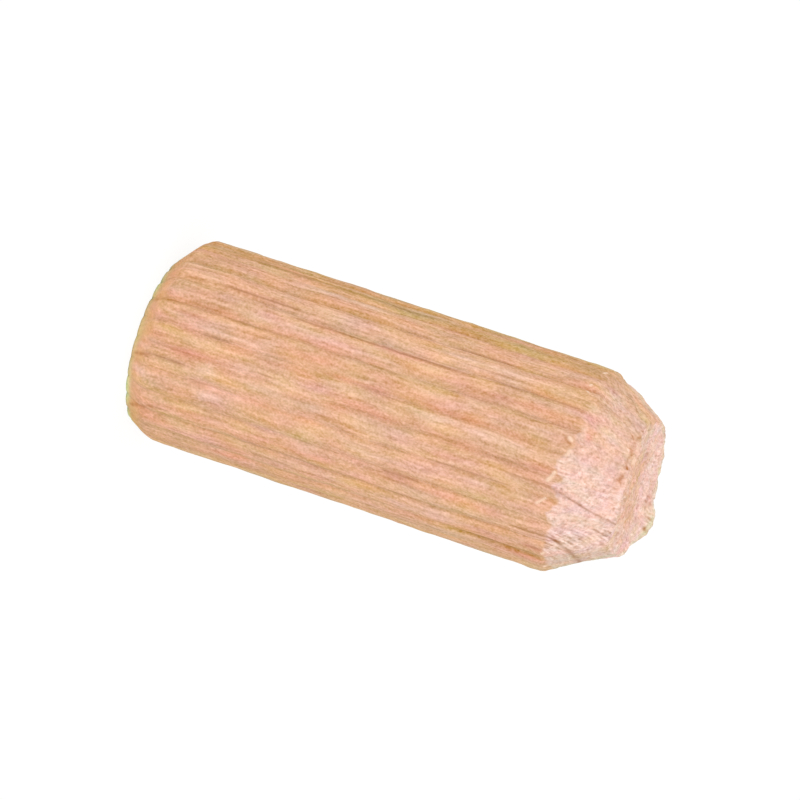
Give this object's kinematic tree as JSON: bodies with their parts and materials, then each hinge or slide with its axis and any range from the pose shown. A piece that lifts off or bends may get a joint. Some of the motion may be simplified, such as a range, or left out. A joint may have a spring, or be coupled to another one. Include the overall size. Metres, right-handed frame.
{
  "type": "dowel pin",
  "caption": "Fluted hardwood dowel pin: a short ridged peg, glued into matching holes to join two boards, with one chamfered end and one torn, tapered end.",
  "frame": {"origin": "middle of the cleanly cut end face, which the pin stands on", "axes": "+Z along the pin, from the cut end to the torn end; +X through a flute"},
  "size_m": [0.01, 0.01, 0.0248],
  "materials": {
    "beech": "raw milled beech with end grain showing at both ends"
  },
  "bodies": {
    "root": {"dowel_pin": "beech"}
  },
  "joints": []
}
